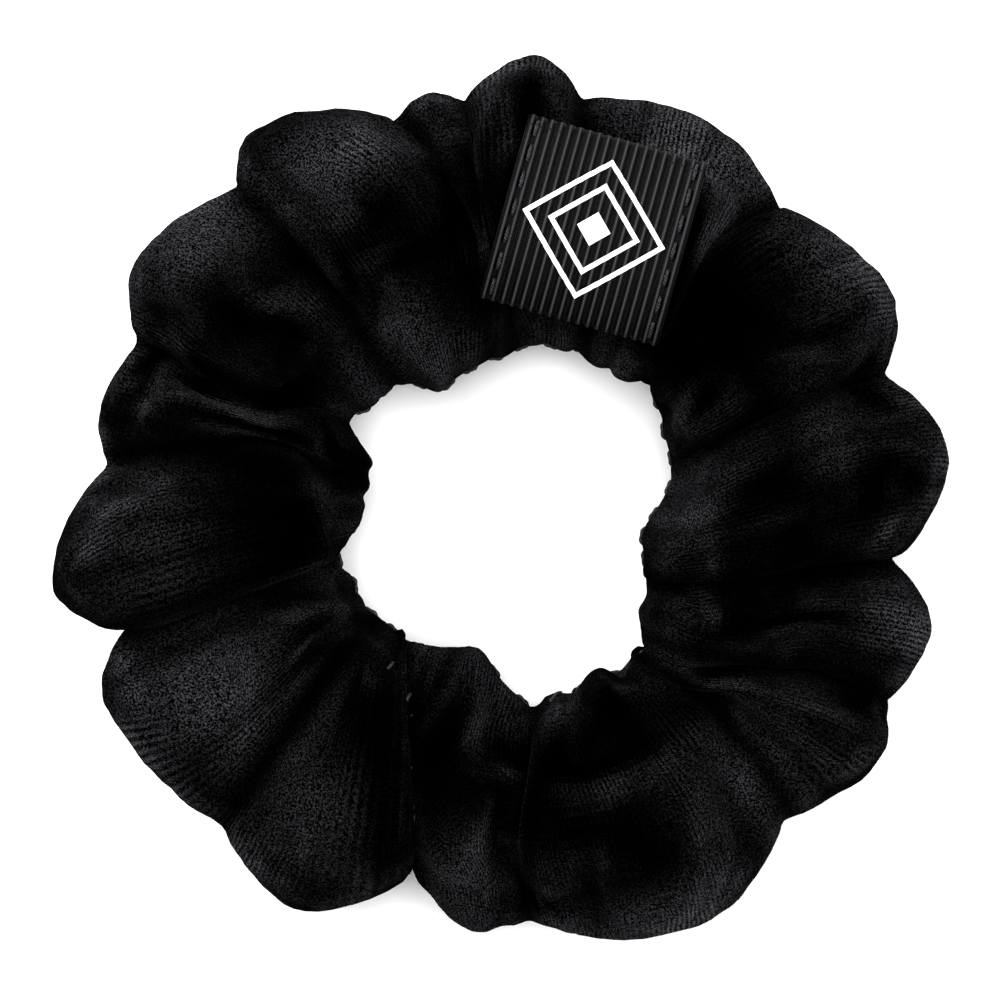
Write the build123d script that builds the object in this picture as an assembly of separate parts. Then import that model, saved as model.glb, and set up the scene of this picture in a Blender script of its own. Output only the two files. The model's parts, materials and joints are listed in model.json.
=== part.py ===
from build123d import *
import math
import os

# A fabric-covered hair tie: a gathered velvet tube round a coiled elastic ring, with a
# ribbon patch sewn on top. It lies flat, the ring's axis is +Z, and the underside is z = 0.
# All lengths are in millimetres and all angles in degrees, anticlockwise from +X.

# ---- driving dimensions ----
# The casing's folds, going round the ring's axis. Each line is a fold's crest and then the
# valley after it, and each of those is (angle, outer reach, hole reach, top height).
FOLDS = [
    (7.5, 44.0, 16.0, 25.0), (21.0, 39.7, 15.7, 22.4),
    (31.0, 43.6, 16.8, 24.8), (48.5, 40.7, 17.7, 22.8),
    (65.0, 44.2, 18.0, 25.4), (79.5, 41.6, 16.0, 25.2),
    (90.0, 45.2, 15.0, 25.0), (107.0, 41.0, 14.4, 22.6),
    (123.0, 46.4, 14.2, 25.6), (131.0, 43.0, 17.2, 23.6),
    (146.0, 45.6, 18.2, 25.2), (156.0, 41.4, 17.4, 22.8),
    (166.0, 42.8, 14.8, 24.0), (173.0, 41.2, 14.2, 22.2),
    (188.0, 46.6, 16.8, 26.0), (196.0, 42.0, 16.8, 23.4),
    (207.0, 44.6, 15.8, 24.8), (227.0, 42.8, 16.2, 23.2),
    (240.5, 45.4, 14.2, 25.6), (252.5, 37.6, 13.8, 21.0),
    (266.0, 42.0, 17.0, 25.0), (278.0, 40.8, 18.6, 23.2),
    (295.0, 45.8, 17.7, 25.8), (311.0, 40.8, 18.6, 22.6),
    (327.0, 43.4, 14.6, 24.6), (334.5, 41.4, 13.4, 22.8),
    (344.0, 43.0, 12.2, 24.0), (353.5, 38.4, 12.0, 21.6),
]
CREST_UNDERSIDE = -0.6          # crests rest on the surface, where they are trimmed flat
VALLEY_UNDERSIDE = 0.9
PILE_CLOTH_THICKNESS = 1.2      # knitted backing and pile together
SECTION_POINTS = 16             # points on the outline of one section of the casing
SECTION_SQUARENESS = 0.9        # under 1, the section is fuller than an ellipse

COIL_RING_RADIUS = 25.5         # to the middle of the coil
COIL_RADIUS = 3.0               # from the middle of the coil to the cord's centre line
COIL_CORD_DIAMETER = 3.0
COIL_TURNS = 22
COIL_HEIGHT = 12.7              # the ring's middle above the underside
POINTS_PER_TURN = 10
WELD_RADIUS = 1.9               # bead where the cord's two ends are welded

THREAD_DIAMETER = 0.4
SEAM_HEIGHT = 12.2              # the lengthwise seam, level with the middle of the section
CLOSING_SEAM_VALLEY = 19        # its place in FOLDS: the deepest valley

LABEL_ANGLE = 74.5              # where on the ring the ribbon sits
LABEL_RING_RADIUS = 29.2        # from the ring's axis to the ribbon's middle
LABEL_LENGTH = 18.5             # along the ring, after folding
RIBBON_WIDTH = 19.8             # across the ring, from selvedge to selvedge
RIBBON_THICKNESS = 0.5
LABEL_FOLD = 4.0                # how much of each cut end is folded under
FOLD_GAP = 0.1                  # air between a fold and the ribbon over it
LABEL_BEND_RADIUS = 17.0        # the ribbon follows the casing's round top
LABEL_TOP = 26.5                # height of the ribbon's face at its middle

PRINT_THICKNESS = 0.12
MOTIF_SIZES = [14.6, 9.4]       # corner to corner, of the two outlined diamonds
MOTIF_LINE = 0.45
MOTIF_CENTRE_SIZE = 3.4         # corner to corner, of the filled diamond

STITCH_COUNT = 7
STITCH_LENGTH = 2.1
STITCH_DIAMETER = 0.36
STITCH_INSET = 1.1              # from the label's folded edge to the stitch line

COLOURS = {
    "velvet_cover": Color(0.12, 0.12, 0.13),
    "spiral_ring": Color(0.45, 0.42, 0.5),
    "lengthwise_seam_thread": Color(0.3, 0.3, 0.35),
    "closing_seam_thread": Color(0.3, 0.3, 0.35),
    "ribbon_label": Color(0.2, 0.2, 0.22),
    "label_print": Color(0.95, 0.95, 0.95),
    "label_stitches_left": Color(0.4, 0.4, 0.4),
    "label_stitches_right": Color(0.4, 0.4, 0.4),
}


def closed_tube(points, diameter):
    """A round tube along a smooth closed path through the points."""
    path = Edge.make_spline(points, periodic=True)
    start = Plane(origin=path @ 0, z_dir=path % 0)
    return sweep(start * Circle(diameter / 2), path=path)


# ---- the gathered casing ----
def section_points(index, inset):
    """Points on the casing's outline at one crest or valley, moved in from its outside."""
    angle, outer, hole, top = FOLDS[index % len(FOLDS)]
    bottom = VALLEY_UNDERSIDE if index % 2 else CREST_UNDERSIDE
    half_width = (outer - hole) / 2 - inset
    half_height = (top - bottom) / 2 - inset
    heading = Vector(math.cos(math.radians(angle)), math.sin(math.radians(angle)), 0)
    points = []
    for step in range(SECTION_POINTS):
        turn = 2 * math.pi * step / SECTION_POINTS
        across = math.copysign(abs(math.cos(turn)) ** SECTION_SQUARENESS, math.cos(turn))
        up = math.copysign(abs(math.sin(turn)) ** SECTION_SQUARENESS, math.sin(turn))
        reach = (outer + hole) / 2 + half_width * across
        height = (top + bottom) / 2 + half_height * up
        points.append(heading * reach + Vector(0, 0, height))
    return points


def casing_solid(inset):
    """The gathered tube as a filled solid, its skin moved in from its outside by inset."""
    skin = []
    for crest in range(0, len(FOLDS), 2):
        sections = [
            Wire([Edge.make_spline(section_points(index, inset), periodic=True)])
            for index in (crest - 1, crest, crest + 1)
        ]
        skin.extend(Shell.make_loft(sections).faces())
    return Solid(Shell(skin))


def make_velvet_cover():
    """A closed shell of cloth, trimmed flat where its folds rest on a surface."""
    shell = casing_solid(0) - casing_solid(PILE_CLOTH_THICKNESS)
    reach = 4 * LABEL_RING_RADIUS
    below = Box(reach, reach, 10, align=(Align.CENTER, Align.CENTER, Align.MAX))
    return shell - below


# ---- the elastic ring ----
def coil_point(turn):
    """A point on the cord's centre line, turn counting the coil's turns from 0."""
    wind = 2 * math.pi * turn
    heading = 2 * math.pi * turn / COIL_TURNS
    reach = COIL_RING_RADIUS + COIL_RADIUS * math.cos(wind)
    height = COIL_HEIGHT + COIL_RADIUS * math.sin(wind)
    return Vector(reach * math.cos(heading), reach * math.sin(heading), height)


def make_spiral_ring():
    """The coiled cord bent into a ring, with a weld bead over the joined ends."""
    stops = COIL_TURNS * POINTS_PER_TURN
    coil = closed_tube([coil_point(stop / POINTS_PER_TURN) for stop in range(stops)],
                       COIL_CORD_DIAMETER)
    weld = Location(coil_point(0)) * Sphere(WELD_RADIUS)
    return coil.fuse(weld)


# ---- sewing threads ----
def make_lengthwise_seam_thread():
    """The thread that closes the strip into a tube, level within the wall lining the hole."""
    facing_hole = SECTION_POINTS // 2
    loop = []
    for index in range(len(FOLDS)):
        point = section_points(index, PILE_CLOTH_THICKNESS / 2)[facing_hole]
        loop.append(Vector(point.X, point.Y, SEAM_HEIGHT))
    return closed_tube(loop, THREAD_DIAMETER)


def make_closing_seam_thread():
    """The thread that joins the tube's two ends, within the wall at the deepest valley."""
    loop = section_points(CLOSING_SEAM_VALLEY, PILE_CLOTH_THICKNESS / 2)
    return closed_tube(loop, THREAD_DIAMETER)


# ---- the ribbon label ----
# The label is built round its bend axis, which lies along X at the origin, and then placed.
FACE_RADIUS = LABEL_BEND_RADIUS + 2 * RIBBON_THICKNESS + FOLD_GAP
HALF_ARC = math.degrees(RIBBON_WIDTH / 2 / LABEL_BEND_RADIUS)


def place_label(shape):
    """Carry a shape from the bend axis to the label's place on the casing."""
    middle = Location(
        (
            LABEL_RING_RADIUS * math.cos(math.radians(LABEL_ANGLE)),
            LABEL_RING_RADIUS * math.sin(math.radians(LABEL_ANGLE)),
            LABEL_TOP - FACE_RADIUS,
        ),
        (0, 0, LABEL_ANGLE - 90),
    )
    return middle * shape


def make_ribbon_label():
    """Ribbon bent over the casing, with both cut ends folded under."""
    half = LABEL_LENGTH / 2
    lap = half - LABEL_FOLD
    low = LABEL_BEND_RADIUS
    fold_top = low + RIBBON_THICKNESS
    under = fold_top + FOLD_GAP
    outline = Plane.XY * make_face(
        Polyline(
            (-half, FACE_RADIUS),
            (half, FACE_RADIUS),
            (half, low),
            (lap, low),
            (lap, fold_top),
            (half - RIBBON_THICKNESS, fold_top),
            (half - RIBBON_THICKNESS, under),
            (RIBBON_THICKNESS - half, under),
            (RIBBON_THICKNESS - half, fold_top),
            (-lap, fold_top),
            (-lap, low),
            (-half, low),
            close=True,
        )
    )
    ribbon = revolve(outline, Axis.X, 2 * HALF_ARC)
    return place_label(ribbon.rotate(Axis.X, 90 - HALF_ARC))


def diamond(size):
    """A square standing on its corner, size from corner to corner."""
    return Rectangle(size / math.sqrt(2), size / math.sqrt(2), rotation=45)


def make_label_print():
    """A generic motif of nested diamonds, printed on the ribbon's face."""
    motif = diamond(MOTIF_CENTRE_SIZE)
    for size in MOTIF_SIZES:
        motif += diamond(size) - diamond(size - 2 * MOTIF_LINE)
    prism = extrude(motif, FACE_RADIUS + RIBBON_THICKNESS)
    film = Rot(0, 90, 0) * (
        Cylinder(FACE_RADIUS + PRINT_THICKNESS, RIBBON_WIDTH)
        - Cylinder(FACE_RADIUS, RIBBON_WIDTH)
    )
    return place_label(prism & film)


def make_label_stitches(side):
    """A row of stitches along one folded end, half sunk in the ribbon."""
    stitch_line = side * (LABEL_LENGTH / 2 - STITCH_INSET)
    step = 2 * HALF_ARC / STITCH_COUNT
    stitches = []
    for index in range(STITCH_COUNT):
        turn = (index - (STITCH_COUNT - 1) / 2) * step
        rod = Rot(90, 0, 0) * Cylinder(STITCH_DIAMETER / 2, STITCH_LENGTH)
        lifted = Pos(stitch_line, 0, FACE_RADIUS) * rod
        stitches.append(place_label(lifted.rotate(Axis.X, turn)))
    return Compound(children=stitches)


# ---- the whole hair tie, its box centred over the origin ----
pieces = {
    "velvet_cover": make_velvet_cover(),
    "spiral_ring": make_spiral_ring(),
    "lengthwise_seam_thread": make_lengthwise_seam_thread(),
    "closing_seam_thread": make_closing_seam_thread(),
    "ribbon_label": make_ribbon_label(),
    "label_print": make_label_print(),
    "label_stitches_left": make_label_stitches(-1),
    "label_stitches_right": make_label_stitches(1),
}

extent = pieces["velvet_cover"].bounding_box()
to_origin = Location((-extent.center().X, -extent.center().Y, 0))

os.makedirs("parts", exist_ok=True)
for name, piece in pieces.items():
    placed = to_origin * piece
    placed.label = name
    placed.color = COLOURS[name]
    export_step(placed, f"parts/{name}.step")

print("ring axis at", -extent.center().X, -extent.center().Y)
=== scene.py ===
import json
import math
from collections import namedtuple

import bpy
import numpy as np
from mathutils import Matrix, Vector


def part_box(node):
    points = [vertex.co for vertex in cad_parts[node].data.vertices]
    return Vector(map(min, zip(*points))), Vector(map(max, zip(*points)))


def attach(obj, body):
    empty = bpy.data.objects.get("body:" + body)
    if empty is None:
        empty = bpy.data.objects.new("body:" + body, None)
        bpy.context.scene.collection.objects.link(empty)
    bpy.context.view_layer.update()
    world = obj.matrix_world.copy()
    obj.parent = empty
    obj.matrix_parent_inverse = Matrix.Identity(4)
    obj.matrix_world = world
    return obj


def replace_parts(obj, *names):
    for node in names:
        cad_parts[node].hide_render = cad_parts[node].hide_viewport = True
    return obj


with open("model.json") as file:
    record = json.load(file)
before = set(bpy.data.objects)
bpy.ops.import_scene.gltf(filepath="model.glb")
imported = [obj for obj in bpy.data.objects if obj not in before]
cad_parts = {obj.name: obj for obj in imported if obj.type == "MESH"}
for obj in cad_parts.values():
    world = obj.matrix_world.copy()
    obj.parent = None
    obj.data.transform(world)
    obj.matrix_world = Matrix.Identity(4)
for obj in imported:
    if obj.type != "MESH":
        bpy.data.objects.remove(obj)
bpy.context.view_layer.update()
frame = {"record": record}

bl_info = {
    "name": "Velvet scrunchie",
    "version": (1, 0, 0),
    "blender": (4, 5, 0),
    "location": "3D View > Sidebar > Scrunchie",
    "description": "Makes a gathered velvet scrunchie with a ribbon label round its elastic ring",
    "category": "Object",
}

# Sizes are in millimetres and angles in degrees, anticlockwise from +X, round the ring's axis.
MM = 0.001
RING_AXIS = Vector(frame["record"]["behaviour"]["joints"][0]["pos_m"]) / MM
COVER_BODY = "cover"

# ---- the gathered cover's folds ----
# Each fold is a crease and then the crest after it, going round the ring. A crease is (angle at
# the hole, halfway and at the outer edge), reach at the hole, reach at the edge, height, and
# softness from 0, pinched, to 1, rolling. A crest is the same without the softness. The last
# two numbers are how far the fold leans over the crease before it and the crease after it.
Crease = namedtuple("Crease", "angles hole edge height softness")
Crest = namedtuple("Crest", "angles hole edge height lean_before lean_after")
FOLDS = (
    ((334, 349, 353), 14.8, 38.2, 18.6, 0.5, (-9, 6, 7.5), 12.0, 43.4, 25.2, 1.8, 0.2),
    ((17.5, 21, 20.5), 16.0, 39.4, 18.8, 0.8, (28, 33, 30), 16.4, 43.6, 24.6, 0.4, 2.6),
    ((40, 50, 49), 18.3, 40.4, 18.2, 0.3, (52, 60, 65), 18.2, 43.8, 23.0, 0.0, 0.2),
    ((65, 77, 81), 17.6, 41.4, 19.8, 0.9, (74, 85, 88), 16.6, 45.6, 23.8, 0.2, 0.6),
    ((91, 94, 97), 15.4, 41.6, 18.6, 0.6, (95, 97, 101.5), 15.0, 43.0, 20.8, 0.0, 0.0),
    ((99, 99.5, 107), 15.2, 41.0, 18.0, 0.5, (121, 114, 125), 13.6, 46.2, 25.4, 2.0, 0.4),
    ((133, 129.5, 130.5), 17.6, 42.8, 18.6, 0.9, (142, 142, 146), 17.4, 45.6, 24.2, 0.3, 0.5),
    ((152, 154.5, 155.5), 18.4, 41.2, 18.6, 0.9, (162, 162, 166), 14.8, 42.9, 22.0, 0.2, 0.0),
    ((168, 168, 173), 15.2, 41.0, 19.0, 1.0, (178, 181, 189), 15.0, 46.8, 25.2, 0.3, 2.0),
    ((190, 194.5, 196), 17.8, 40.0, 15.0, 0.0, (206, 212, 206), 16.6, 45.2, 22.0, 0.0, 0.2),
    ((216, 223, 227), 16.6, 42.8, 19.4, 1.0, (221, 235, 240.5), 16.4, 45.4, 23.8, 0.2, 3.0),
    ((226, 243, 253), 16.4, 36.6, 17.8, 0.0, (254, 259, 266), 14.2, 42.0, 22.8, 0.4, 0.2),
    ((278, 273, 272), 18.8, 40.8, 18.2, 0.7, (298, 298, 295), 17.8, 45.2, 25.2, 1.0, 0.6),
    ((310, 315, 311), 19.2, 40.6, 18.4, 0.8, (312, 323, 327), 18.8, 43.8, 21.4, 0.0, 0.0),
    ((314, 329, 333.5), 18.6, 41.4, 18.0, 0.8, (323, 339, 343.5), 15.8, 43.2, 22.6, 0.6, 0.2),
)
# Narrow creases across a fold: angles at the hole, halfway and at the outer edge; where along
# the way from hole to edge they start and stop; depth; half width.
CREASES = (
    ((344, 358, 0), 0.05, 0.75, 0.8, 1.2),
    ((352, 4, 4), 0.0, 0.55, 0.7, 0.9),
    ((5, 12, 12), 0.0, 0.85, 0.9, 1.3),
    ((12, 17, 17), 0.0, 0.45, 0.8, 0.8),
    ((33, 40, 38), 0.0, 0.5, 0.9, 1.0),
    ((44, 46, 44), 0.0, 0.35, 1.1, 0.8),
    ((57, 62, 62), 0.0, 0.25, 1.1, 0.7),
    ((70, 72, 72), 0.0, 0.22, 1.0, 0.7),
    ((79, 80, 80), 0.0, 0.22, 1.0, 0.7),
    ((86, 87, 88), 0.0, 0.25, 0.9, 0.7),
    ((112, 106, 110), 0.0, 0.8, 1.3, 1.4),
    ((127, 124, 126), 0.0, 0.5, 1.0, 1.1),
    ((146, 147, 152), 0.0, 0.95, 1.1, 1.2),
    ((149, 151, 153), 0.0, 0.7, 0.8, 0.9),
    ((163, 158, 160), 0.0, 0.9, 1.1, 1.0),
    ((166, 166, 167), 0.1, 0.8, 0.7, 0.8),
    ((174, 176, 177), 0.0, 0.9, 0.9, 0.9),
    ((180, 180, 182), 0.0, 0.7, 0.8, 0.8),
    ((187, 187, 188), 0.0, 0.6, 0.6, 0.9),
    ((206, 202, 203), 0.0, 0.45, 1.0, 0.9),
    ((212, 216, 218), 0.0, 0.4, 0.9, 0.9),
    ((246, 250, 258), 0.55, 1.0, 1.1, 1.2),
    ((262, 266, 268), 0.5, 1.0, 1.3, 1.3),
    ((288, 284, 281), 0.0, 0.4, 0.7, 1.3),
    ((303, 307, 304), 0.0, 0.95, 1.0, 1.4),
    ((313, 319, 318), 0.1, 1.0, 1.2, 1.0),
    ((316, 326, 331), 0.25, 1.0, 1.0, 0.9),
    ((320, 334, 339), 0.1, 0.85, 1.2, 1.3),
    ((329, 344, 348), 0.0, 0.7, 0.8, 1.2),
)
# Broad hollows pressed into the folds: angle, reach, size along the ring, size across, depth.
HOLLOWS = (
    (211.5, 35.5, 6.0, 4.0, 4.6),
    (186, 37.0, 5.0, 3.0, 1.4),
    (112, 27.0, 5.0, 4.5, 4.0),
    (138, 35.0, 5.0, 4.0, 2.6),
    (150, 30.0, 5.0, 6.0, 2.2),
    (176, 30.0, 4.0, 7.0, 2.0),
    (236, 33.0, 4.0, 7.0, 1.8),
    (262, 26.0, 4.0, 4.0, 1.6),
    (268, 35.0, 3.5, 4.0, 2.2),
    (300, 38.0, 4.5, 4.0, 2.2),
    (290, 27.0, 4.5, 4.0, 2.0),
    (334, 33.0, 3.5, 5.0, 2.6),
    (30, 27.0, 5.0, 4.0, 2.6),
    (36, 38.0, 4.0, 3.5, 2.0),
    (10, 36.0, 6.0, 3.5, 2.4),
    (356, 27.0, 4.0, 4.0, 2.0),
    (60, 40.0, 5.0, 2.2, 1.6),
)
# Painted highlights, patches of the velvet painted pale as if lit: angle, reach, size along the
# ring, size across it, and how pale.
PAINTED_HIGHLIGHTS = (
    (117, 40.0, 8.0, 3.5, 0.9),
    (126, 21.0, 5.0, 3.5, 0.8),
    (122, 14.5, 4.5, 2.5, 0.7),
    (62, 41.0, 9.0, 3.0, 1.0),
    (39, 42.0, 4.5, 4.5, 0.9),
    (3, 16.5, 5.0, 3.5, 0.7),
    (346, 40.0, 4.5, 3.5, 0.9),
    (318, 20.5, 3.0, 2.5, 0.6),
    (312, 35.0, 6.0, 5.0, 0.8),
    (287, 42.5, 9.0, 2.5, 0.7),
    (270, 17.0, 3.5, 3.5, 0.6),
    (262, 37.0, 3.5, 4.5, 0.6),
    (211, 35.0, 7.0, 6.0, 1.0),
    (236, 36.0, 5.0, 5.0, 0.5),
    (184, 37.0, 8.0, 6.0, 0.45),
    (203, 42.0, 5.0, 1.4, 0.8),
    (137, 42.5, 6.0, 3.5, 0.9),
    (66, 16.0, 8.0, 2.5, 0.7),
    (17, 32.0, 5.0, 3.0, 0.5),
)
# Soft swells all over the cloth: wavelength, depth, and how many waves are added up.
SWELLS = ((20.0, 0.9, 7), (11.0, 0.38, 9), (6.0, 0.08, 12))

# ---- the velvet ----
CLOTH_WALL = 0.7                # backing and pile
STRIP_LENGTH = 255.0            # of the velvet strip, before it is gathered
STRIP_WIDTH = 88.0
KNIT_PITCH = 0.42               # from one row of the knit to the next
SHEEN_FALLOFF = 0.95             # how far the cloth turns away before its painted sheen is at its palest
CREASE_SHADE_HALF_WIDTH = 1.7          # of the painted shade line along a fold's crease
NARROW_CREASE_SHADE = 0.6              # how dark a narrow crease's painted shade is, a fold's crease being 1

# ---- the gathered tube ----
TUBE_ROWS = 48                  # round the tube's section
COLUMNS_PER_MM = 1.28           # along the ring, measured halfway across the tube
FEWEST_COLUMNS = 6              # from a crest to the crease beside it
MIDDLE_REACH = 30.0             # from the ring's axis to about halfway across the tube
MIDDLE_HEIGHT = 12.2            # widest level of the tube
SECTION_SQUARENESS = 0.86       # under 1, the section is fuller than an ellipse
CREST_UNDERSIDE = 0.0
CREASE_UNDERSIDE = 2.6
LAPS_OVER = 1.0                 # a fold that leans this far laps over its neighbour
PINCH_POWER = 2.2               # how suddenly a fold drops to a pinched crease
PINCH_ROUNDNESS = 0.62          # under 1, the fold stays full until it is close to the crease
LOBE_POWER = 1.7                # the same as PINCH_POWER, for the outline seen from above
SOFT_SPREAD = 0.85              # how evenly columns are spread towards a rolling crease
GROOVE_POWER = 1.4              # between a sharp V, 1, and a rounded hollow, 2

# ---- the cloth simulation and what follows it ----
SIM_SCALE = 20.0
SIM_FRAMES = 20
EDGE_HOLD = 0.9                 # how firmly the outer edge is held, 1 being fully
RING_AIR = 0.35                 # between the elastic ring and the cloth's inner face
LANDING = 0.8                   # height below which the cloth is eased on to the table
LOWEST = 0.02                   # height that the eased cloth nears and doesn't reach
SEAT_DEPTH = 0.75               # from the ribbon's face down to the cloth under it
FOLD_DEPTH = 0.5                # how much deeper where the ribbon is doubled
SEAT_FROM = 12.5                # height from which the cloth starts to follow the ribbon
SEAT_FULL = 15.0                # height from which it follows the ribbon fully

# ---- the ribbon label ----
RIBBON_WIDTH = 19.8
RIBBON_THICKNESS = 0.22         # of the sheet, ribs not counted
LABEL_LENGTH = 18.5
LABEL_FOLD = 4.0
TURN_RADIUS = 0.3               # of the ribbon's bend where its cut end is folded under
RIBBON_RUN = LABEL_LENGTH + 2 * (LABEL_FOLD + (math.pi - 2) * TURN_RADIUS)
RIBBON_COLUMNS = 421            # along the run, enough to round each rib
RIBBON_ROWS = 37
FACE_RADIUS = 18.1              # of the label's bend over the tube's round top
RIB_PITCH = 0.97
RIB_HEIGHT = 0.32
WARP_PITCH = 0.22
SELVEDGE_LOOP = 0.26            # how far each rib's weft loops out past the hole-side edge
SELVEDGE_DIP = 0.1              # depth of the flat line just inside each selvedge
OUTER_DIP = (1.0, 0.22)         # its distance from the outer selvedge, and half width
INNER_DIP = (0.7, 0.2)
DIAMONDS = ((14.6, 0.45), (9.4, 0.45))      # diagonal and line width of the printed outlines
SMALL_DIAMOND = 3.4
INK_THICKNESS = 0.07
INK_CLEARANCE = 0.02            # of the ink's middle over the ribs

# ---- the stitches ----
STITCHES_A_SIDE = 7
STITCH_LENGTH = 2.1
STITCH_RADIUS = 0.18
STITCH_INSET = 1.1              # from the label's folded edge to the stitch line
PLY_SWELL = 0.14                # how far the two plies stand out, as a share of the radius
PLY_TWIST = 7.0                 # in radians, from the middle of a stitch to its end
HOLE_REACH = 15.5               # of the seam round the hole
SEAM_DROP = 2.0                 # of that seam below the tube's widest level
SEAM_STITCH_PITCH = 2.6
CLOSING_STITCHES = 9
CLOSING_SEAM = FOLDS[11][0]     # the crease in which the tube's ends are sewn together
CLOSING_FROM, CLOSING_RUN = 0.12, 0.7       # shares of the way from the hole to the edge
SEARCH_STEPS, SEARCH_STEP = 12, 0.5         # how the lowest line near a crease is found
HIGH_UP = 60.0                  # well above everything


def smooth_step(value, low, high):
    """0 below low, 1 above high, and smooth between."""
    share = np.clip((value - low) / (high - low), 0.0, 1.0)
    return share * share * (3 - 2 * share)


def between(three, along):
    """Values on the smooth line through three, which stand at 0, 0.5 and 1 along it."""
    first, middle, last = three
    return (
        first * 2 * (along - 0.5) * (along - 1)
        + middle * 4 * along * (1 - along)
        + last * 2 * along * (along - 0.5)
    )


def near_turn(angle, centre):
    """The angle, plus or minus whole turns, that lies nearest to centre."""
    return centre + (angle - centre + 180.0) % 360.0 - 180.0


def distance_from(line, angle, reach):
    """How far along the ring points at an angle and a reach are from a line."""
    return np.radians(near_turn(angle, line) - line) * reach


def groove(away, half_width, power=GROOVE_POWER):
    """The depth of a crease at a distance from its line, 1 being its full depth."""
    return np.exp(-(np.abs(away) / half_width) ** power)


def lay_columns():
    """Every column of the tube, going round the ring: how far it is from its crest to its
    crease, on which side of the crest, how far the fold leans there, its crease and its crest.

    Where the next fold laps over this one, the crease between them rolls on this side."""
    creases = [Crease(*fold[:5]) for fold in FOLDS]
    crests = [Crest(*fold[5:]) for fold in FOLDS]
    columns = []
    for index, crest in enumerate(crests):
        following = (index + 1) % len(FOLDS)
        before, after = creases[index], creases[following]
        if crests[index - 1].lean_after >= LAPS_OVER:
            before = before._replace(softness=1.0)
        if crests[following].lean_before >= LAPS_OVER:
            after = after._replace(softness=1.0)
        for side, crease, lean in ((-1, before, crest.lean_before), (1, after, crest.lean_after)):
            apart = abs(near_turn(crease.angles[1], crest.angles[1]) - crest.angles[1])
            width = math.radians(apart) * MIDDLE_REACH
            count = max(FEWEST_COLUMNS, round(width * COLUMNS_PER_MM))
            half = [(step, side, lean, crease, crest) for step in (np.arange(count) + 0.5) / count]
            columns.extend(reversed(half) if side < 0 else half)
    return columns


def gathered_points():
    """The tube's points, as an array of columns by rows by 3, in millimetres."""
    columns = lay_columns()
    rows = np.arange(TUBE_ROWS) * 2 * math.pi / TUBE_ROWS
    out, up = np.cos(rows), np.sin(rows)
    across = 0.5 + 0.5 * np.sign(out) * np.abs(out) ** SECTION_SQUARENESS
    rise = np.abs(up) ** SECTION_SQUARENESS
    points = np.zeros((len(columns), TUBE_ROWS, 3))
    for number, (step, side, lean, crease, crest) in enumerate(columns):
        off_crest = math.sin(step * math.pi / 2)
        off_crest += (step - off_crest) * SOFT_SPREAD * crease.softness
        pinched = (1 - off_crest ** PINCH_POWER) ** PINCH_ROUNDNESS
        rolling = 0.5 + 0.5 * math.cos(math.pi * off_crest)
        puff = pinched + (rolling - pinched) * crease.softness
        lobe = 1 - off_crest ** LOBE_POWER
        crest_at = between(crest.angles, across)
        crease_at = between(
            [near_turn(a, m) for a, m in zip(crease.angles, crest.angles)], across)
        angle = crest_at + (crease_at - crest_at) * off_crest
        hole = crease.hole + (crest.hole - crease.hole) * puff
        edge = crease.edge + (crest.edge - crease.edge) * lobe
        top = crease.height + (crest.height - crease.height) * puff
        bottom = CREASE_UNDERSIDE + (CREST_UNDERSIDE - CREASE_UNDERSIDE) * puff
        reach = hole + (edge - hole) * across
        over = lean * math.sin(math.pi * off_crest ** 3) * np.clip(up, 0, 1) ** 0.5
        angle = angle + side * np.degrees(over / reach)
        height = np.where(
            up >= 0,
            MIDDLE_HEIGHT + (top - MIDDLE_HEIGHT) * rise,
            MIDDLE_HEIGHT - (MIDDLE_HEIGHT - bottom) * rise,
        )
        points[number, :, 0] = reach * np.cos(np.radians(angle))
        points[number, :, 1] = reach * np.sin(np.radians(angle))
        points[number, :, 2] = height
    return points, across, out, up


def press_in(points, depth, out, up):
    """Move the points into the tube by depth, straight in from its section's outline."""
    angle = np.arctan2(points[..., 1], points[..., 0])
    points[..., 0] -= depth * out * np.cos(angle)
    points[..., 1] -= depth * out * np.sin(angle)
    points[..., 2] -= depth * up


def add_creases(points, across, out, up):
    """Press the narrow creases and broad hollows into the folds."""
    angle = np.degrees(np.arctan2(points[..., 1], points[..., 0]))
    reach = np.hypot(points[..., 0], points[..., 1])
    above = smooth_step(up, -0.45, 0.1)
    depth = np.zeros(angle.shape)
    for line, start, stop, deep, half_width in CREASES:
        middle = between([near_turn(a, line[1]) for a in line], across)
        fade = smooth_step(across, start - 0.12, start + 0.05)
        fade = fade * (1 - smooth_step(across, stop - 0.15, stop + 0.12))
        depth += deep * groove(distance_from(middle, angle, reach), half_width) * fade * above
    for centre, far, along_size, across_size, deep in HOLLOWS:
        away = distance_from(centre, angle, reach) / along_size
        apart = (reach - far) / across_size
        depth += deep * np.exp(-(away ** 2 + apart ** 2)) * smooth_step(up, 0.0, 0.4)
    press_in(points, depth, out, up)


def rumple(points, out, up):
    """Soft uneven swells and dips over the cloth, fading underneath and at the outer edge."""
    draw = np.random.default_rng(23)
    depth = np.zeros(points.shape[:2])
    for wavelength, deep, waves in SWELLS:
        for _ in range(waves):
            way = draw.normal(size=3)
            way *= 2 * math.pi / wavelength / np.linalg.norm(way) * draw.uniform(0.8, 1.25)
            depth += deep / math.sqrt(waves) * 1.4 * np.cos(
                points @ way + draw.uniform(0, 2 * math.pi))
    fade = smooth_step(up, -0.3, 0.35) * (1 - 0.7 * smooth_step(out, 0.7, 0.95))
    press_in(points, depth * fade, out, up)


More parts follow.
